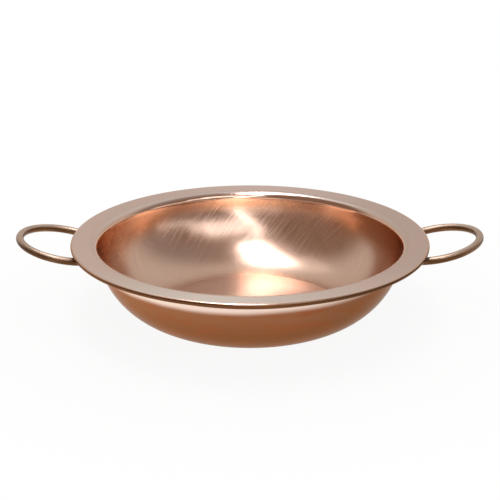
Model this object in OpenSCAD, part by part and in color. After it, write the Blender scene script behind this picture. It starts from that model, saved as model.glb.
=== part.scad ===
// Round two-handled copper pan: one spun sheet with a wide flat rim, and two loops of round rod.
// The origin is the middle of the underside of the base. The handles lie along X, and Z is up.

/* [Rim] */
// Diameter over the rolled edge of the rim
rim_d = 280; // [240:1:330]
// Width of the rim, from the mouth to its outer edge
rim_w = 15.35; // [11:0.05:20]
// Rise of the flat rim towards its edge, in degrees
rim_rise = 1.6; // [0:0.1:6]
// Diameter of the rolled edge itself
edge_d = 3.6; // [3.4:0.1:6]
// Angle through which the edge of the sheet is rolled under
edge_roll = 260; // [160:5:260]

/* [Bowl] */
// Depth from the mouth to the floor
depth = 59.7; // [50:0.1:85]
// Diameter of the flat floor inside
floor_d = 146.5; // [110:0.5:180]
// Inside radius of the curved wall
wall_r = 59.2; // [50:0.1:75]
// Radius of the shoulder between the wall and the rim, over the top of the sheet
shoulder_r = 6.1; // [3:0.1:9]
// Thickness of the copper sheet
sheet = 1.2; // [0.8:0.1:1.6]

/* [Handles] */
// Diameter of the round rod
rod_d = 6; // [4:0.5:9]
// Radius of the loop, to the middle of the rod
loop_r = 34.4; // [31:0.1:44]
// How far the middle of the loop stands outside the edge of the rim
loop_out = 6.5; // [0:0.5:9]
// Tilt of the loop above the level, in degrees
loop_tilt = 12.3; // [0:0.1:25]
// Clearance between the rolled edge and the rod that passes below it
edge_gap = 1.7; // [0.3:0.1:4]
// Width of the brazed fillet round the foot of the rod
braze_w = 1.5; // [0.5:0.1:2.5]

/* [Hidden] */
$fn = 128;

pan_colour = "#c99a80";
handle_colour = "#a87c58";

rim_r = rim_d / 2;
edge_r = edge_d / 2;
mouth_r = rim_r - rim_w;
floor_r = floor_d / 2;
rod_r = rod_d / 2;

// In the section, the first coordinate is the distance from the axis and the second the height
floor_edge = [floor_r, sheet];
shoulder_c = [mouth_r, sheet + depth - shoulder_r];

// The wall's centre lies where its arc meets the floor's edge and runs smoothly into the shoulder
span = shoulder_c - floor_edge;
span_l = norm(span);
along = (pow(wall_r, 2) - pow(wall_r + shoulder_r, 2) + pow(span_l, 2)) / (2 * span_l);
aside = sqrt(pow(wall_r, 2) - pow(along, 2));
wall_c = floor_edge + (along * span + aside * [-span[1], span[0]]) / span_l;

// The flat rim is tangent to the top of the shoulder and to the top of the rolled edge
rim_normal = [-sin(rim_rise), cos(rim_rise)];
shoulder_top = shoulder_c + shoulder_r * rim_normal;
edge_top_r = rim_r - edge_r + edge_r * rim_normal[0];
edge_top = [edge_top_r, shoulder_top[1] + (edge_top_r - shoulder_top[0]) * tan(rim_rise)];
edge_c = edge_top - edge_r * rim_normal;
edge_under = edge_c[1] - edge_r;

// The rolled sheet ends on a line from the middle of the roll
roll_angle = 90 + rim_rise - edge_roll;
roll_end = edge_c + edge_d * [cos(roll_angle), sin(roll_angle)];

// The sheet's section is cut out of a blank of this size
blank_r = rim_r + edge_d;
blank_top = edge_top[1] + edge_d;

// The rod crosses below the rolled edge with edge_gap between them
loop_x = rim_r + loop_out;
cross_x = (pow(loop_x, 2) + pow(rim_r, 2) - pow(loop_r, 2)) / (2 * loop_x);
cross_z = edge_under - edge_gap - rod_r / cos(loop_tilt);
loop_z = cross_z + (loop_x - cross_x) * tan(loop_tilt);

// Distance of the wall's outside from the axis at the height z
function wall_out(z) = wall_c[0] + sqrt(pow(wall_r + sheet, 2) - pow(z - wall_c[1], 2));

// Cosine of the angle round the loop at which the rod's middle is at the distance r from the axis
function foot_cos(r) =
    let (a = -pow(loop_r * sin(loop_tilt), 2))
    let (b = 2 * loop_x * loop_r * cos(loop_tilt))
    let (c = pow(loop_x, 2) + pow(loop_r, 2) - pow(r, 2))
    -2 * c / (b + sqrt(b * b - 4 * a * c));

// Height of the rod's middle there
function foot_z(r) = loop_z + loop_r * foot_cos(r) * sin(loop_tilt);

// Distance from the axis at which the rod meets the wall, closer with each pass
function foot_out(r, passes) = passes == 0 ? r : foot_out(wall_out(foot_z(r)), passes - 1);

foot_passes = 6;
foot_angle = acos(foot_cos(foot_out(wall_out(cross_z), foot_passes)));

// Section of the bowl's whole body, grown by t from the inside face
module bowl_section(t) {
    r = wall_r + t;
    bottom = sheet - t;
    intersection() {
        union() {
            translate(wall_c) circle(r);
            square([wall_c[0], wall_c[1] + r]);
        }
        translate([0, bottom]) square([wall_c[0] + r, wall_c[1] + r - bottom]);
    }
}

// Section of the air over the rim
module air_over_rim() {
    difference() {
        polygon([
            wall_c,
            shoulder_c,
            shoulder_top,
            edge_top,
            edge_c,
            [blank_r + sheet, edge_c[1]],
            [blank_r + sheet, blank_top + sheet],
            [wall_c[0], blank_top + sheet]
        ]);
        translate(shoulder_c) circle(shoulder_r);
        translate(edge_c) circle(edge_r);
    }
}

// Section of the air outside the rolled edge
module air_round_edge() {
    difference() {
        polygon([
            edge_c,
            roll_end,
            [roll_end[0], -sheet],
            [blank_r + sheet, -sheet],
            [blank_r + sheet, blank_top + sheet],
            [edge_c[0], blank_top + sheet]
        ]);
        translate(edge_c) circle(edge_r);
    }
}

// Section of the air under the rim and round the outside of the wall
module air_under_rim() {
    difference() {
        polygon([
            wall_c,
            shoulder_c,
            shoulder_top - sheet * rim_normal,
            edge_top - sheet * rim_normal,
            edge_c,
            roll_end,
            [roll_end[0], -sheet],
            [0, -sheet],
            [0, 0],
            [wall_c[0], 0]
        ]);
        bowl_section(sheet);
    }
}

// The sheet is what a blank leaves between its inside and its outside face
module sheet_section() {
    difference() {
        square([blank_r, blank_top]);
        bowl_section(0);
        air_over_rim();
        air_round_edge();
        air_under_rim();
        translate(shoulder_c) circle(shoulder_r - sheet);
        translate(edge_c) circle(edge_r - sheet);
    }
}

module pan() {
    color(pan_colour) rotate_extrude() sheet_section();
}

module rod_loop() {
    rotate_extrude() translate([loop_r, 0]) circle(rod_r);
}

// Brazed fillet: a cone that tapers to the rod, and a stub that reaches into the wall
module braze(side) {
    foot_r = rod_r + braze_w;
    rotate([0, 0, side * foot_angle])
    translate([loop_r, 0, 0])
    rotate([side * 90, 0, 0]) {
        cylinder(h = 2 * foot_r, r1 = foot_r, r2 = rod_r);
        translate([0, 0, -2 * foot_r]) cylinder(h = 2 * foot_r, r = foot_r);
    }
}

// The rod's feet are coped to the outside of the wall, so that they lie on it face to face
module handle() {
    difference() {
        translate([loop_x, 0, loop_z])
        rotate([0, -loop_tilt, 0]) {
            rod_loop();
            braze(1);
            braze(-1);
        }
        rotate_extrude() bowl_section(sheet);
    }
}

module handle_left() {
    color(handle_colour) mirror([1, 0, 0]) handle();
}

module handle_right() {
    color(handle_colour) handle();
}

pan();
handle_left();
handle_right();
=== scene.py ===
"""Round two-handled copper pan, spun from one sheet, on a white studio floor.

All lengths are metres in the frame of the CAD model: the middle of the underside of the base is the
origin, the handles lie along X and Z is up. The sizes are those of the CAD model, apart from the
small fillets of the pan and the flare of the brazing, which are this script's own.
"""

import math

import bpy
from mathutils import Matrix, Vector


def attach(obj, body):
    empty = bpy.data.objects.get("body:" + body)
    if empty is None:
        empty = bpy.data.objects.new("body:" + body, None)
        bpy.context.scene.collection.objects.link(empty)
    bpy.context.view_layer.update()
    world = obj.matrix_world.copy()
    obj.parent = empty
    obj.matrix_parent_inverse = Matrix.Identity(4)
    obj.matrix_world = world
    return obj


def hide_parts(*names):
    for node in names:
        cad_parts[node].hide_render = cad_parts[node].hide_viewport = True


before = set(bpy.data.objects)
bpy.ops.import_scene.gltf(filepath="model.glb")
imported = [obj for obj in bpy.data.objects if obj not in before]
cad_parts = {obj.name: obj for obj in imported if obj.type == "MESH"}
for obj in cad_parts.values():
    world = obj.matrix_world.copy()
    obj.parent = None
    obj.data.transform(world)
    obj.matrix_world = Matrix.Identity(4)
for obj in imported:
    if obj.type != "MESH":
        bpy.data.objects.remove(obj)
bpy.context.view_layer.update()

# Sizes of the pan
SHEET = 0.0012
DEPTH = 0.0597
RIM_R = 0.140
RIM_W = 0.01535
MOUTH_R = RIM_R - RIM_W
FLOOR_R = 0.07325
WALL_R = 0.0592
SHOULDER_R = 0.0061
EDGE_R = 0.0018
RIM_RISE = math.radians(1.6)
EDGE_ROLL = math.radians(260)
CREASE_R = 0.0009

# Sizes of the handles
ROD_R = 0.003
LOOP_R = 0.0344
LOOP_OUT = 0.0065
LOOP_X = RIM_R + LOOP_OUT
LOOP_TILT = math.radians(12.3)
EDGE_GAP = 0.0017
BRAZE_W = 0.0013
BRAZE_L = 0.009
BRAZE_CURVE = 2.4

# A rod runs on into the wall by this turn of its loop, and is cut off in the middle of the sheet
FOOT_REACH = math.radians(9)
FOOT_TURNS = math.radians(120), math.radians(175)
FOOT_HALVINGS = 40

# Steps along the pan's section
FLOOR_STEPS = 18
CREASE_STEPS = 5
WALL_STEPS = 44
SHOULDER_STEPS = 14
SHOULDER_STEPS_BELOW = 12
RIM_STEPS = 6
ROLL_STEPS = 26
INNER_ROLL_STEPS = 20

# Segments round the pan, and the gap below which its points are merged
PAN_SEGMENTS = 320
SMALLEST_GAP = 0.00001

# Steps and segments of the body that copes the rods, and the turn of the wall at which it is closed
BODY_STEPS = 60
BODY_SEGMENTS = 240
BODY_TOP = math.pi / 4

# Steps along a rod and sides round it
LOOP_STEPS = 168
ROD_SIDES = 40

# Copper of the inside: the wall in two tones, its upper part, its left and right with painted dark
# reflection, the floor, the rim
WALL_COPPER = (0.925, 0.635, 0.505)
WALL_COPPER_PALE = (0.935, 0.665, 0.54)
UPPER_COPPER = (0.90, 0.56, 0.365)
SIDE_DARK_REFLECTION_COPPER = (0.74, 0.41, 0.245)
FLOOR_COPPER = (0.92, 0.725, 0.645)
RIM_COPPER = (0.945, 0.79, 0.755)
EDGE_TINT = (0.84, 0.70, 0.60)

# Copper of the outside: painted dark reflection low and high, blotches, a painted reflection band, and
# painted shade close under the rim
DARK_REFLECTION_LOW = (0.27, 0.094, 0.033)
DARK_REFLECTION_HIGH = (0.34, 0.135, 0.06)
BLOTCH_COPPER = (0.36, 0.10, 0.032)
PAINTED_SHEEN_COPPER = (0.98, 0.75, 0.63)
SHADED_COPPER = (0.17, 0.068, 0.027)

# Marks on the copper, as many to a metre: lathe lines, the strokes side by side, and their new starts
FINE_LINES = 5200.0
BROAD_LINES = 900.0
STROKES = 1300.0
STROKE_STARTS = 34.0
MARK_DEPTH = 0.00008

# Height at which the painted reflection band of the outside starts, and the height at which the rim
# shades it
BAND_LOW = 0.0425
BAND_HIGH = 0.0488

# Roughness of the copper and of the rod, the highlights' stretch across the lines, and the rod's grain
COPPER_ROUGH = 0.235
ROD_ROUGH = 0.43
STRETCH = 0.55
QUARTER_TURN = 0.25
ROD_GRAIN = 1400.0
GRAIN_DEPTH = 0.00001

# Bronzed rod: its top in two tones of painted light, its lower side in two tones of painted shade, and
# its underside with a painted reflection
ROD_LIT_TOP = (0.64, 0.475, 0.375)
ROD_LIT_TOP_PALE = (0.72, 0.555, 0.455)
ROD_SHADED_LOWER = (0.13, 0.056, 0.024)
ROD_SHADED_LOWER_PALE = (0.24, 0.12, 0.056)
ROD_UNDERSIDE_REFLECTION = (0.44, 0.26, 0.14)

# Studio: floor, dim room, its lighter right, its dark front corner and the pale wall behind the pan
WHITE = (1.0, 1.0, 1.0)
FLOOR_WHITE = (0.96, 0.96, 0.96)
ROOM = (0.215, 0.145, 0.108)
ROOM_RIGHT = (0.26, 0.22, 0.20)
ROOM_CORNER = (0.08, 0.052, 0.038)
ROOM_BACK = (0.53, 0.50, 0.455)
FLOOR_REACH = 40.0

# Lamps: name, place, point that it faces, width and length, strength, and the direction of its length
ALONG_RIGHT = (-0.125, 0.387, 0.912)
LAMPS = (
    ("strip_overhead", (-0.115, -0.02, 1.25), (-0.01, 0.0, 0.0), (0.33, 0.97), 5.8, (-0.2, 1, 0)),
    ("strip_front", (-0.15, -0.98, 1.06), (0.0, 0.10, 0.04), (0.16, 0.50), 2.3, (0, 0, 1)),
    ("front_panel", (0.10, -1.30, 0.56), (0.0, 0.0, 0.05), (0.12, 0.80), 4.0, (-0.50, 0, 1)),
    ("front_wall", (-0.05, -1.55, 0.17), (0.0, 0.0, 0.05), (1.3, 0.34), 0.65, (0, 0, 1)),
    ("cross_strip", (0.42, -1.02, 0.90), (0.0, 0.0, 0.03), (0.80, 0.60), 1.3, (0, 0, 1)),
    ("left_panel", (-0.42, 0.40, 1.15), (0.0, 0.0, 0.03), (0.44, 0.55), 0.35, (0, 1, 0)),
    ("far_strip", (1.02, -0.98, 0.86), (0.0, 0.0, 0.03), (0.44, 0.50), 0.9, (0, 0, 1)),
    ("right_strip", (1.30, -0.55, 0.44), (-0.05, 0.08, 0.03), (0.90, 0.20), 0.85, ALONG_RIGHT),
)

# Camera: its lens and sensor in millimetres, and its place as seen from the middle of the mouth
LENS = 91.63
SENSOR = 36.0
CAMERA_AWAY = 0.99986
CAMERA_LIFT = math.radians(19.304)
CAMERA_PITCH = math.radians(19.876)
CAMERA_TURN = math.radians(-0.3)
VIEW_REACH = 200.0


def add_object(name, data):
    """Puts a mesh, a lamp or a camera into the scene."""
    thing = bpy.data.objects.new(name, data)
    bpy.context.scene.collection.objects.link(thing)
    return thing


# Shader nodes


class Wire:
    """A shader socket that takes part in Python sums. Each operation on it adds a Math node."""

    def __init__(self, maker, socket):
        self.maker = maker
        self.socket = socket

    def _math(self, operation, *values):
        return self.maker.node("ShaderNodeMath", {"operation": operation}, dict(enumerate(values)))

    def __add__(self, other):
        return self._math("ADD", self, other)

    __radd__ = __add__

    def __sub__(self, other):
        return self._math("SUBTRACT", self, other)

    def __rsub__(self, other):
        return self._math("SUBTRACT", other, self)

    def __mul__(self, other):
        return self._math("MULTIPLY", self, other)

    __rmul__ = __mul__

    def __truediv__(self, other):
        return self._math("DIVIDE", self, other)

    def __rtruediv__(self, other):
        return self._math("DIVIDE", other, self)

    def __pow__(self, other):
        return self._math("POWER", self, other)

    def __rpow__(self, other):
        return self._math("POWER", other, self)

    def __neg__(self):
        return self._math("MULTIPLY", self, -1.0)

    def __abs__(self):
        return self._math("ABSOLUTE", self)

    def larger(self, other):
        """The larger of this value and another."""
        return self._math("MAXIMUM", self, other)

    def smooth(self, low, high):
        """0 below low, 1 above high and a smooth step between them."""
        return self.maker.node(
            "ShaderNodeMapRange",
            {"interpolation_type": "SMOOTHSTEP"},
            {"Value": self, "From Min": low, "From Max": high},
        )

    def fade(self, low, high):
        """1 below low, 0 above high and a smooth step between them."""
        return 1.0 - self.smooth(low, high)


class Finish:
    """The nodes of a material, or of the room's light, under construction."""

    def __init__(self, tree):
        self.tree = tree
        self.tree.nodes.clear()

    def node(self, kind, settings=None, inputs=None, out=0):
        """Adds a node, sets it up, fills its sockets with values or links, and returns one output."""
        made = self.tree.nodes.new(kind)
        for key, value in (settings or {}).items():
            setattr(made, key, value)
        for key, value in (inputs or {}).items():
            socket = made.inputs[key]
            if isinstance(value, Wire):
                self.tree.links.new(value.socket, socket)
            elif socket.type == "RGBA" and len(value) == 3:
                socket.default_value = (*value, 1)
            else:
                socket.default_value = value
        return Wire(self, made.outputs[out]) if made.outputs else None

    def place(self):
        """The point on the piece, in metres."""
        return self.node("ShaderNodeTexCoord", out="Object")

    def rays(self):
        """Whether a ray comes from the camera, from a gloss, or through a clear thing."""
        made = self.node("ShaderNodeLightPath").socket.node
        names = ("Is Camera Ray", "Is Glossy Ray", "Is Transmission Ray")
        return [Wire(self, made.outputs[name]) for name in names]

    def split(self, vector):
        """The three parts of a vector."""
        made = self.node("ShaderNodeSeparateXYZ", {}, {0: vector}).socket.node
        return [Wire(self, part) for part in made.outputs]

    def join(self, x, y, z):
        """A vector from its three parts."""
        return self.node("ShaderNodeCombineXYZ", {}, {0: x, 1: y, 2: z})

    def noise(self, vector, scale, detail=2.0, rough=0.5):
        """Soft noise round 0.5."""
        return self.node(
            "ShaderNodeTexNoise",
            {},
            {"Vector": vector, "Scale": scale, "Detail": detail, "Roughness": rough},
        )

    def blend(self, factor, a, b):
        """Colour a where the factor is 0 and b where it is 1."""
        return self.node("ShaderNodeMix", {"data_type": "RGBA"}, {0: factor, 6: a, 7: b}, out=2)

    def tint(self, colour, factor):
        """The colour made lighter or darker by a factor round 1."""
        grey = self.node("ShaderNodeCombineColor", {}, {0: factor, 1: factor, 2: factor})
        settings = {"data_type": "RGBA", "blend_type": "MULTIPLY"}
        return self.node("ShaderNodeMix", settings, {0: 1.0, 6: colour, 7: grey}, out=2)

    def bump(self, height, strength, depth):
        """Fine relief, so deep in metres where the height is 1."""
        values = {"Strength": strength, "Distance": depth, "Height": height}
        return self.node("ShaderNodeBump", {}, values)

    def metal(self, values):
        """A bare metal surface with these values of its sockets."""
        self.surface(self.node("ShaderNodeBsdfPrincipled", {}, {"Metallic": 1.0, **values}))

    def surface(self, shader):
        """Ends the material with its shader."""
        self.node("ShaderNodeOutputMaterial", {}, {"Surface": shader})


def new_finish(name):
    """A new material, and the maker of its nodes."""
    material = bpy.data.materials.new(name)
    material.use_nodes = True
    return material, Finish(material.node_tree)


# Finishes


def scouring_strokes(f, place, side, inside):
    """Straight slanting strokes that cross, along X on the front and back and along Y at the sides."""
    x, y, z = f.split(place)

    def stroke(level, lean, seed):
        run = level * 0.60 + z * (0.80 * lean)
        across = level * 0.75 - z * (0.60 * lean)
        return f.noise(f.join(run * STROKE_STARTS, across * STROKES, seed), 1.0, 1.0, 0.6) - 0.5

    rising = stroke(x, 1.0, 0.0) * (1.0 - side) + stroke(y, 1.0, 3.0) * side
    falling = stroke(x, -1.0, 7.0) * (1.0 - side) + stroke(y, -1.0, 11.0) * side
    patch = f.noise(place, 14.0, 2.0).smooth(0.40, 0.60)

    # The pad worked the middle of the wall most, and the sides less than the front and back
    above_floor = 0.25 + 0.75 * z.smooth(0.012, 0.036)
    below_shoulder = 1.0 - 0.65 * z.smooth(0.038, 0.052)
    worked = inside * above_floor * (1.0 - 0.6 * side) * below_shoulder
    return (rising * (0.6 + 0.4 * patch) + falling * (1.0 - patch) * 0.8) * worked


def bright_copper(f, z, cos_turn, cloud, inside, disc, flat):
    """Colour of the inside, of its floor and of the flat rim, with painted dark reflection on the upper
    left and right of the wall.
    """
    colour = f.blend(cloud.smooth(0.3, 0.7), WALL_COPPER, WALL_COPPER_PALE)
    colour = f.blend(z.smooth(0.041, 0.052) * inside, colour, UPPER_COPPER)
    # Painted dark reflection on the upper left and right of the inside wall
    painted_dark_sides = abs(cos_turn).smooth(0.52, 0.72)
    colour = f.blend(painted_dark_sides * z.smooth(0.030, 0.046) * inside, colour, SIDE_DARK_REFLECTION_COPPER)
    colour = f.blend(disc, colour, FLOOR_COPPER)
    return f.blend(flat, colour, RIM_COPPER)


def outside_copper_painted_light(f, x, y, z, cloudy):
    """Colour below the rim: darkened as a painted reflection of the shaded floor, with a painted
    reflection band and painted shade close under the rim.
    """
    # Painted shade close under the rim, which also darkens the lower half of the rolled edge
    shaded = z.smooth(BAND_HIGH, BAND_HIGH + 0.0006)
    # Painted reflection: a bright band round the wall, whose lower edge rises towards the right
    sheen_band_from = BAND_LOW + cloudy * 0.004 + x * 0.012
    painted_sheen = (z - sheen_band_from).smooth(0.0, 0.0055) * (1.0 - shaded)
    # Painted dark reflection of the shaded floor, darkest low on the wall
    colour = f.blend(z.smooth(0.018, 0.042), DARK_REFLECTION_LOW, DARK_REFLECTION_HIGH)
    blotch = f.noise(f.join(x, y, z * 3.0), 42.0, 3.0).smooth(0.45, 0.70)
    colour = f.blend(blotch * 0.6, colour, BLOTCH_COPPER)
    colour = f.blend(painted_sheen, colour, PAINTED_SHEEN_COPPER)
    return f.blend(shaded, colour, SHADED_COPPER)


def spun_copper(ends):
    """Copper with the round lines of the spinning lathe and the crossing strokes of a scouring pad.

    The inside and the flat rim are bright. Below the rim only a painted reflection band round the wall
    is bright, and the rest is dark brown, painted as the reflection of the shaded floor.
    """
    material, f = new_finish("spun_copper")
    place = f.place()
    x, y, z = f.split(place)
    radius = (x * x + y * y) ** 0.5
    cos_turn = x / (radius + 1e-4)
    sin_turn = y / (radius + 1e-4)
    side = abs(cos_turn).smooth(0.60, 0.80)

    # Parts of the sheet, told by how far along its section they lie: the inside, the floor, the bend
    # of the shoulder, the flat rim, and all from the lower half of the rolled edge on
    along = f.node("ShaderNodeAttribute", {"attribute_name": "along"}, out="Fac")
    floor_end, wall_end = ends["floor"], ends["wall"]
    shoulder_end, flat_end = ends["shoulder"], ends["flat"]
    inside = along.fade(wall_end - 0.004, wall_end + 0.004)
    disc = along.fade(floor_end, floor_end + 0.001)
    bend = along.smooth(wall_end - 0.003, wall_end + 0.001)
    bend = bend * along.fade(shoulder_end - 0.001, shoulder_end + 0.002)
    flat = along.smooth(shoulder_end - 0.0062, shoulder_end - 0.0030)
    flat = flat * along.fade(flat_end, flat_end + 0.001)
    # From the lower half of the rolled edge on, the sheet takes the outside colour with its painted
    # reflection and painted shade
    lip = along.smooth(flat_end + 0.0013, flat_end + 0.0020)

    # Lines that run round the pan, at two widths
    def turned_lines(spread, per_metre, rough):
        ring = f.join(cos_turn * spread, sin_turn * spread, along * per_metre)
        return f.noise(ring, 1.0, 2.0, rough)

    lined = turned_lines(1.5, FINE_LINES, 0.6) * 0.6 + turned_lines(1.1, BROAD_LINES, 0.5) * 0.4 - 0.5
    strokes = scouring_strokes(f, place, side, inside)

    # Slow changes of tone, as the metal was worked and handled, and after them painted light and shade
    cloud = f.noise(place, 11.0, 3.0)
    cloudy = cloud - 0.5
    tone = 0.985 + cloudy * (0.06 + 0.16 * lip) + lined * (0.08 + 0.30 * lip) + strokes * 0.85
    # Painted highlight: the floor of the pan lighter towards the right
    tone = tone + disc * x.smooth(0.0, 0.05) * 0.12
    # Painted light and shade: the flat rim lighter at the front and darker towards the right
    tone = tone - flat * (x * 0.5 - (-y).smooth(0.06, 0.14) * 0.17)
    # Painted shade: the outside darker towards the right
    tone = tone - lip * (0.03 + x * 2.0 + x.smooth(0.02, 0.09) * 0.10)

    bright = bright_copper(f, z, cos_turn, cloud, inside, disc, flat)
    colour = f.blend(lip, bright, outside_copper_painted_light(f, x, y, z, cloudy))
    rough = COPPER_ROUGH - bend * 0.12 + lined * 0.08 + cloudy * 0.05 + strokes * 0.25
    rough = rough + flat * 0.10 + lip * 0.06 + disc * 0.12
    f.metal(
        {
            "Base Color": f.tint(colour, tone),
            "Roughness": rough,
            "Specular Tint": EDGE_TINT,
            "Anisotropic": STRETCH,
            "Anisotropic Rotation": QUARTER_TURN,
            "Coat Weight": inside * 0.5,
            "Coat Roughness": 0.1,
            "Normal": f.bump(lined * 0.25 + strokes * 0.5, 1.0, MARK_DEPTH),
        }
    )
    return material


def bronzed_rod():
    """Round rod of darker, golden copper, with painted light on its top, painted shade on its lower
    side and a paler painted reflection on its underside.
    """
    material, f = new_finish("bronzed_rod")
    place = f.place()
    grain = f.noise(place, ROD_GRAIN, 2.0, 0.5)
    cloud = f.noise(place, 38.0, 2.0)
    facing = f.split(f.node("ShaderNodeTexCoord", out="Normal"))[2]
    tone = 0.96 + (cloud - 0.5) * 0.14 + (grain - 0.5) * 0.08
    top = f.blend(cloud.smooth(0.35, 0.65), ROD_LIT_TOP, ROD_LIT_TOP_PALE)
    shaded_lower = f.blend(cloud.smooth(0.3, 0.7), ROD_SHADED_LOWER, ROD_SHADED_LOWER_PALE)
    # Painted reflection: the underside paler than the shaded lower side
    shaded_lower = f.blend(facing.fade(-0.95, -0.45), shaded_lower, ROD_UNDERSIDE_REFLECTION)
    # Painted light on the rod's top and painted shade on its lower side
    colour = f.blend(facing.fade(0.30, 0.75), top, shaded_lower)
    f.metal(
        {
            "Base Color": f.tint(colour, tone),
            "Roughness": ROD_ROUGH + (grain - 0.5) * 0.04 + (cloud - 0.5) * 0.06,
            "Normal": f.bump(grain, 0.02, GRAIN_DEPTH),
        }
    )
    return material


# Section of the pan. Its points are distances from the axis and heights.


def arc(centre, radius, start, end, steps):
    """Points of an arc, from one angle to another, both in radians."""
    turns = [start + (end - start) * i / steps for i in range(steps + 1)]
    return [(centre[0] + radius * math.cos(a), centre[1] + radius * math.sin(a)) for a in turns]


def shoulder_centre():
    """Middle of the shoulder's arc."""
    return Vector((MOUTH_R, SHEET + DEPTH - SHOULDER_R))


def wall_centre():
    """Middle of the wall's arc, which meets the floor's edge and runs smoothly into the shoulder."""
    floor_edge = Vector((FLOOR_R, SHEET))
    span = shoulder_centre() - floor_edge
    along = (WALL_R**2 - (WALL_R + SHOULDER_R) ** 2 + span.length**2) / (2 * span.length)
    aside = math.sqrt(WALL_R**2 - along**2)
    return floor_edge + (along * span + aside * Vector((-span.y, span.x))) / span.length


def rim_points():
    """Both ends of the rim's flat top, the middle of the rolled edge, and the rim's normal."""
    normal = Vector((-math.sin(RIM_RISE), math.cos(RIM_RISE)))
    top = shoulder_centre() + SHOULDER_R * normal
    edge_top_x = RIM_R - EDGE_R + EDGE_R * normal.x
    edge_top = Vector((edge_top_x, top.y + (edge_top_x - top.x) * math.tan(RIM_RISE)))
    return top, edge_top, edge_top - EDGE_R * normal, normal


def crease_at(wall_radius, level):
    """Middle of the small fillet inside the wall's arc, and the turn at which it meets that arc."""
    c = wall_centre()
    height = level + CREASE_R
    reach = math.sqrt((wall_radius - CREASE_R) ** 2 - (c.y - height) ** 2)
    return (c.x + reach, height), math.atan2(height - c.y, reach)


def pan_section():
    """The sheet's outline from the axis, along the inside, round the rolled edge and back below.

    Returns its points, how far along the outline each one lies, and how far along each part ends.
    """
    c = wall_centre()
    s = shoulder_centre()
    top, edge_top, edge, normal = rim_points()
    down = SHEET * normal
    join = math.atan2(s.y - c.y, s.x - c.x)
    up = math.pi / 2 + RIM_RISE
    roll_end = up - EDGE_ROLL
    crease, foot = crease_at(WALL_R, SHEET)
    base, foot_out = crease_at(WALL_R + SHEET, 0.0)
    rim_shares = [i / RIM_STEPS for i in range(1, RIM_STEPS + 1)]

    parts = {
        "floor": [(crease[0] * i / FLOOR_STEPS, SHEET) for i in range(FLOOR_STEPS)]
        + arc(crease, CREASE_R, -math.pi / 2, foot, CREASE_STEPS),
        "wall": arc(c, WALL_R, foot, join, WALL_STEPS)[1:],
        "shoulder": arc(s, SHOULDER_R, join + math.pi, up, SHOULDER_STEPS)[1:],
        "flat": [tuple(top.lerp(edge_top, share)) for share in rim_shares],
        "roll": arc(edge, EDGE_R, up, roll_end, ROLL_STEPS)[1:],
        "inner_roll": arc(edge, EDGE_R - SHEET, roll_end, up, INNER_ROLL_STEPS),
        "flat_below": [tuple((top - down).lerp(edge_top - down, 1 - share)) for share in rim_shares],
        "shoulder_below": arc(s, SHOULDER_R - SHEET, up, join + math.pi, SHOULDER_STEPS_BELOW)[1:],
        "wall_outside": arc(c, WALL_R + SHEET, join, foot_out, WALL_STEPS)[1:],
        "base": arc(base, CREASE_R, foot_out, -math.pi / 2, CREASE_STEPS)[1:]
        + [(base[0] * (1 - i / FLOOR_STEPS), 0.0) for i in range(1, FLOOR_STEPS + 1)],
    }
    rows = []
    travelled = []
    ends = {}
    for name, points in parts.items():
        for point in points:
            travelled.append(travelled[-1] + math.dist(rows[-1], point) if rows else 0.0)
            rows.append(point)
        ends[name] = travelled[-1]
    return rows, travelled, ends


# Geometry Nodes


class Tree:
    """A Geometry Nodes tree with named inputs."""

    def __init__(self, name, inputs):
        self.group = bpy.data.node_groups.new(name, "GeometryNodeTree")
        face = self.group.interface
        face.new_socket("Geometry", in_out="INPUT", socket_type="NodeSocketGeometry")
        self.names = {}
        for label, kind in inputs.items():
            made = face.new_socket(label, in_out="INPUT", socket_type=kind)
            self.names[label] = made.identifier
        face.new_socket("Geometry", in_out="OUTPUT", socket_type="NodeSocketGeometry")
        self.start = self.group.nodes.new("NodeGroupInput")

    def input(self, label):
        """One of the tree's inputs, or the geometry of its carrier."""
        return self.start.outputs[label]

    def add(self, kind, settings=None, inputs=None):
        """Adds a node, sets it up and fills its sockets with values or links."""
        made = self.group.nodes.new(kind)
        for key, value in (settings or {}).items():
            setattr(made, key, value)
        for key, value in (inputs or {}).items():
            if isinstance(value, bpy.types.NodeSocket):
                self.group.links.new(value, made.inputs[key])
            else:
                made.inputs[key].default_value = value
        return made

    def calc(self, operation, *values):
        """A sum of sockets and numbers."""
        return self.add("ShaderNodeMath", {"operation": operation}, dict(enumerate(values))).outputs[0]

    def named(self, attribute):
        """A number that each point holds."""
        made = self.add("GeometryNodeInputNamedAttribute", {"data_type": "FLOAT"}, {"Name": attribute})
        return made.outputs[0]

    def end(self, geometry):
        """Closes the tree with smooth shading, Realize Instances and Set Material."""
        values = {"Geometry": geometry, "Shade Smooth": True}
        smooth = self.add("GeometryNodeSetShadeSmooth", {}, values)
        real = self.add("GeometryNodeRealizeInstances", {}, {"Geometry": smooth.outputs[0]})
        values = {"Geometry": real.outputs[0], "Material": self.input("Material")}
        done = self.add("GeometryNodeSetMaterial", {}, values)
        self.add("NodeGroupOutput", {}, {0: done.outputs[0]})

    def run(self, carrier, values, name):
        """Turns the carrier line into a plain mesh object, faces outward, and removes the line."""
        modifier = carrier.modifiers.new("tree", "NODES")
        modifier.node_group = self.group
        for label, value in values.items():
            modifier[self.names[label]] = value
        carrier.update_tag()
        graph = bpy.context.evaluated_depsgraph_get()
        mesh = bpy.data.meshes.new_from_object(carrier.evaluated_get(graph))
        carrier.modifiers.remove(modifier)
        remove(carrier)
        mesh.name = name
        face_outward(mesh)
        return add_object(name, mesh)


def remove(thing):
    """Takes an object out of the scene for good."""
    bpy.data.objects.remove(thing, do_unlink=True)


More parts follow.
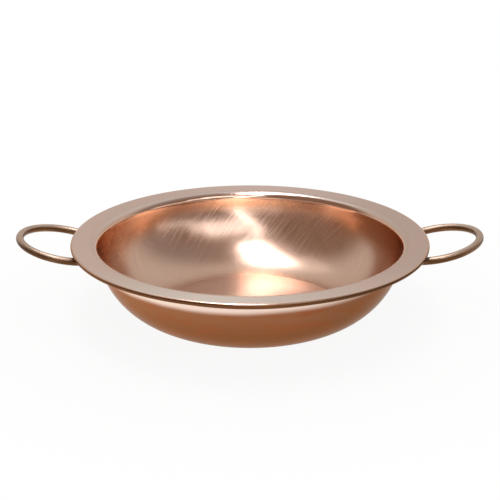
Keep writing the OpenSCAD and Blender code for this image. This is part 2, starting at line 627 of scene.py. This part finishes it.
def face_outward(mesh):
    """Turns the faces outward if the mesh came out inside out."""
    volume = 0.0
    for polygon in mesh.polygons:
        corners = [mesh.vertices[i].co for i in polygon.vertices]
        for a, b in zip(corners[1:-1], corners[2:]):
            volume += corners[0].dot(a.cross(b))
    if volume < 0:
        mesh.flip_normals()


def carrier_line(name, points, attribute, values):
    """A mesh of vertices and edges only, as the line that a tree of nodes starts from.

    Each of its points holds one number.
    """
    mesh = bpy.data.meshes.new(name)
    mesh.from_pydata(points, [(i, i + 1) for i in range(len(points) - 1)], [])
    mesh.attributes.new(attribute, "FLOAT", "POINT").data.foreach_set("value", values)
    return add_object(name, mesh)


def revolve_tree():
    """Turns the carrier's line round the Z axis.

    The line holds distances from the axis as X and heights as Z. Each of its points becomes one row of
    a grid, and the grid is rolled up and sewn at its seam and at the axis.
    """
    t = Tree(
        "revolved_sheet",
        {
            "Points": "NodeSocketInt",
            "Segments": "NodeSocketInt",
            "Smallest gap": "NodeSocketFloat",
            "Material": "NodeSocketMaterial",
        },
    )
    grid = t.add(
        "GeometryNodeMeshGrid",
        {},
        {
            "Size X": 1.0,
            "Size Y": 1.0,
            "Vertices X": t.calc("ADD", t.input("Segments"), 1),
            "Vertices Y": t.input("Points"),
        },
    )
    place = t.add("GeometryNodeInputPosition").outputs[0]
    spread = t.add("ShaderNodeSeparateXYZ", {}, {0: place})
    turn = t.calc("MULTIPLY", t.calc("ADD", spread.outputs[0], 0.5), 2 * math.pi)
    last = t.calc("SUBTRACT", t.input("Points"), 1)
    row = t.calc("ROUND", t.calc("MULTIPLY", t.calc("ADD", spread.outputs[1], 0.5), last))

    def on_line(kind, value):
        """What the line holds at the point of this row."""
        return t.add(
            "GeometryNodeSampleIndex",
            {"data_type": kind, "domain": "POINT"},
            {"Geometry": t.input("Geometry"), "Value": value, "Index": row},
        ).outputs[0]

    reached = on_line("FLOAT", t.named("along"))
    section = t.add("ShaderNodeSeparateXYZ", {}, {0: on_line("FLOAT_VECTOR", place)})
    spot = t.add(
        "ShaderNodeCombineXYZ",
        {},
        {
            0: t.calc("MULTIPLY", section.outputs[0], t.calc("COSINE", turn)),
            1: t.calc("MULTIPLY", section.outputs[0], t.calc("SINE", turn)),
            2: section.outputs[2],
        },
    )
    marked = t.add(
        "GeometryNodeStoreNamedAttribute",
        {"data_type": "FLOAT", "domain": "POINT"},
        {"Geometry": grid.outputs[0], "Name": "along", "Value": reached},
    )
    turned = t.add(
        "GeometryNodeSetPosition", {}, {"Geometry": marked.outputs[0], "Position": spot.outputs[0]}
    )
    sewn = t.add(
        "GeometryNodeMergeByDistance",
        {},
        {"Geometry": turned.outputs[0], "Distance": t.input("Smallest gap")},
    )
    t.end(sewn.outputs[0])
    return t


def loop_tree():
    """Sweeps a round rod along the carrier's line, whose points hold its radius, and copes its feet."""
    t = Tree(
        "rod_loop",
        {"Sides": "NodeSocketInt", "Cutter": "NodeSocketObject", "Material": "NodeSocketMaterial"},
    )
    path = t.add("GeometryNodeMeshToCurve", {}, {"Mesh": t.input("Geometry")})
    ring = t.add(
        "GeometryNodeCurvePrimitiveCircle",
        {"mode": "RADIUS"},
        {"Resolution": t.input("Sides"), "Radius": 1.0},
    )
    rod = t.add(
        "GeometryNodeCurveToMesh",
        {},
        {
            "Curve": path.outputs[0],
            "Profile Curve": ring.outputs[0],
            "Scale": t.named("thick"),
            "Fill Caps": True,
        },
    )
    body = t.add(
        "GeometryNodeObjectInfo", {"transform_space": "RELATIVE"}, {"Object": t.input("Cutter")}
    )
    coped = t.add(
        "GeometryNodeMeshBoolean",
        {"operation": "DIFFERENCE", "solver": "EXACT"},
        {0: rod.outputs[0], 1: body.outputs["Geometry"]},
    )
    t.end(coped.outputs[0])
    return t


# Pieces


def declare(piece, node):
    """Puts a finished piece on the root body and hides the CAD part that it stands for."""
    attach(piece, "root")
    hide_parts(node)


def revolved(name, rows, travelled, segments, material):
    """A mesh object from a section that is turned round the Z axis."""
    line = carrier_line(name + "_line", [(r, 0.0, z) for r, z in rows], "along", travelled)
    values = {
        "Points": len(rows),
        "Segments": segments,
        "Smallest gap": SMALLEST_GAP,
        "Material": material,
    }
    return revolve_tree().run(line, values, name)


def make_pan():
    """The pan, from one section."""
    rows, travelled, ends = pan_section()
    pan = revolved("spun_pan", rows, travelled, PAN_SEGMENTS, spun_copper(ends))
    declare(pan, "pan")


def wall_body():
    """The room of the bowl up to the middle of its sheet, which the rods are coped to."""
    c = wall_centre()
    radius = WALL_R + SHEET * 0.5
    bottom = SHEET * 0.5
    start = math.atan2(bottom - c.y, math.sqrt(radius**2 - (c.y - bottom) ** 2))
    rows = [(0.0, bottom)] + arc(c, radius, start, BODY_TOP, BODY_STEPS)
    rows.append((0.0, c.y + radius * math.sin(BODY_TOP)))
    return revolved("wall_body", rows, [0.0] * len(rows), BODY_SEGMENTS, None)


def loop_height():
    """Height of the loop's middle, from the rod's clearance below the rolled edge."""
    edge_low = rim_points()[2].y - EDGE_R
    cross_x = (LOOP_X**2 + RIM_R**2 - LOOP_R**2) / (2 * LOOP_X)
    cross_z = edge_low - EDGE_GAP - ROD_R / math.cos(LOOP_TILT)
    return cross_z + (LOOP_X - cross_x) * math.tan(LOOP_TILT)


def loop_point(turn, height):
    """A point of the right loop's middle line, with the turn counted from the outermost point."""
    out = LOOP_R * math.cos(turn)
    x = LOOP_X + out * math.cos(LOOP_TILT)
    y = LOOP_R * math.sin(turn)
    return Vector((x, y, height + out * math.sin(LOOP_TILT)))


def foot_turn(height):
    """Turn of the loop at which the rod's middle meets the outside of the wall."""
    c = wall_centre()
    low, high = FOOT_TURNS
    for _ in range(FOOT_HALVINGS):
        middle = (low + high) / 2
        p = loop_point(middle, height)
        wall = c.x + math.sqrt((WALL_R + SHEET) ** 2 - (p.z - c.y) ** 2)
        low, high = (middle, high) if math.hypot(p.x, p.y) > wall else (low, middle)
    return (low + high) / 2


def rod_radius(turn, foot):
    """Radius of the rod, which grows into the brazed fillet close to its foot."""
    away = (foot - abs(turn)) * LOOP_R
    flare = max(0.0, 1.0 - max(0.0, away) / BRAZE_L)
    return ROD_R + BRAZE_W * flare**BRAZE_CURVE


def make_handles():
    """Both handles. The left one is the right one, turned half round the pan."""
    material = bronzed_rod()
    height = loop_height()
    foot = foot_turn(height)
    reach = foot + FOOT_REACH
    turns = [-reach + 2 * reach * i / LOOP_STEPS for i in range(LOOP_STEPS + 1)]
    middle_line = [loop_point(turn, height) for turn in turns]
    thick = [rod_radius(turn, foot) for turn in turns]
    body = wall_body()
    for side, node, name in ((1, "handle_right", "loop_right"), (-1, "handle_left", "loop_left")):
        points = [(side * p.x, side * p.y, p.z) for p in middle_line]
        line = carrier_line(name + "_line", points, "thick", thick)
        rod = loop_tree().run(line, {"Sides": ROD_SIDES, "Cutter": body, "Material": material}, name)
        declare(rod, node)
    remove(body)


# Studio


def make_floor():
    """A white floor. Away from the pan it shows as plain white, and near it, it keeps the pan's shadow.

    From below it is clear, so that the underside of the pan can be seen.
    """
    mesh = bpy.data.meshes.new("studio_floor")
    r = FLOOR_REACH
    mesh.from_pydata([(-r, -r, 0), (r, -r, 0), (r, r, 0), (-r, r, 0)], [], [(0, 1, 2, 3)])
    floor = add_object("studio_floor", mesh)
    material, f = new_finish("white_floor")
    x, y, _ = f.split(f.place())
    whiteness = 0.92 + 0.08 * ((x * x + y * y) ** 0.5).smooth(0.10, 0.34)
    camera, glossy, through = f.rays()
    shown = camera.larger(glossy).larger(through)
    matte = f.node("ShaderNodeBsdfDiffuse", {}, {"Color": FLOOR_WHITE})
    white = f.node("ShaderNodeEmission", {}, {"Color": WHITE, "Strength": 1.0})
    top = f.node("ShaderNodeMixShader", {}, {0: shown * whiteness, 1: matte, 2: white})
    below = f.node("ShaderNodeNewGeometry", out="Backfacing")
    clear = f.node("ShaderNodeBsdfTransparent")
    f.surface(f.node("ShaderNodeMixShader", {}, {0: below, 1: top, 2: clear}))
    mesh.materials.append(material)


def make_room():
    """The studio round the pan: a pale wall behind it and a dim room elsewhere.

    The camera sees plain white instead, and so do gloss and glass close to the level of the floor.
    """
    world = bpy.data.worlds.new("studio")
    world.use_nodes = True
    bpy.context.scene.world = world
    f = Finish(world.node_tree)
    x, y, z = f.split(f.node("ShaderNodeTexCoord", out="Generated"))
    right = x.smooth(0.0, 0.5) * (y + 0.4).smooth(0.0, 0.3)
    corner = x.smooth(0.10, 0.40) * (-y).smooth(0.25, 0.55) * z.fade(0.26, 0.42)
    room = f.blend(right, ROOM, ROOM_RIGHT)
    room = f.blend(corner, room, ROOM_CORNER)
    colour = f.blend(y.smooth(0.0, 0.45), room, ROOM_BACK)
    camera, glossy, through = f.rays()
    shown = camera.larger((glossy + through) * z.fade(0.03, 0.12))
    colour = f.blend(shown, colour, WHITE)
    light = f.node("ShaderNodeBackground", {}, {"Color": colour, "Strength": 1.0})
    f.node("ShaderNodeOutputWorld", {}, {"Surface": light})


def softbox(name, place, target, size, strength, up):
    """A soft rectangular lamp, turned towards a point. Its second side lies along up."""
    lamp = bpy.data.lights.new(name, "AREA")
    lamp.shape = "RECTANGLE"
    lamp.size, lamp.size_y = size
    lamp.energy = strength * size[0] * size[1] * math.pi
    back = (Vector(place) - Vector(target)).normalized()
    side = Vector(up).cross(back).normalized()
    turn = Matrix((side, back.cross(side), back)).transposed()
    add_object(name, lamp).matrix_world = Matrix.Translation(place) @ turn.to_4x4()


def make_camera():
    """The photographer's view: a long lens, about 20 degrees above the floor."""
    camera = bpy.data.cameras.new("camera")
    camera.sensor_width = SENSOR
    camera.lens = LENS
    camera.clip_end = VIEW_REACH
    thing = add_object("camera", camera)
    level = CAMERA_AWAY * math.cos(CAMERA_LIFT)
    height = SHEET + DEPTH + CAMERA_AWAY * math.sin(CAMERA_LIFT)
    thing.location = (math.sin(CAMERA_TURN) * level, -math.cos(CAMERA_TURN) * level, height)
    thing.rotation_euler = (math.pi / 2 - CAMERA_PITCH, 0.0, CAMERA_TURN)
    bpy.context.scene.camera = thing


make_pan()
make_handles()
make_floor()
make_room()
for lamp_values in LAMPS:
    softbox(*lamp_values)
make_camera()
bpy.context.scene.view_settings.view_transform = "Standard"
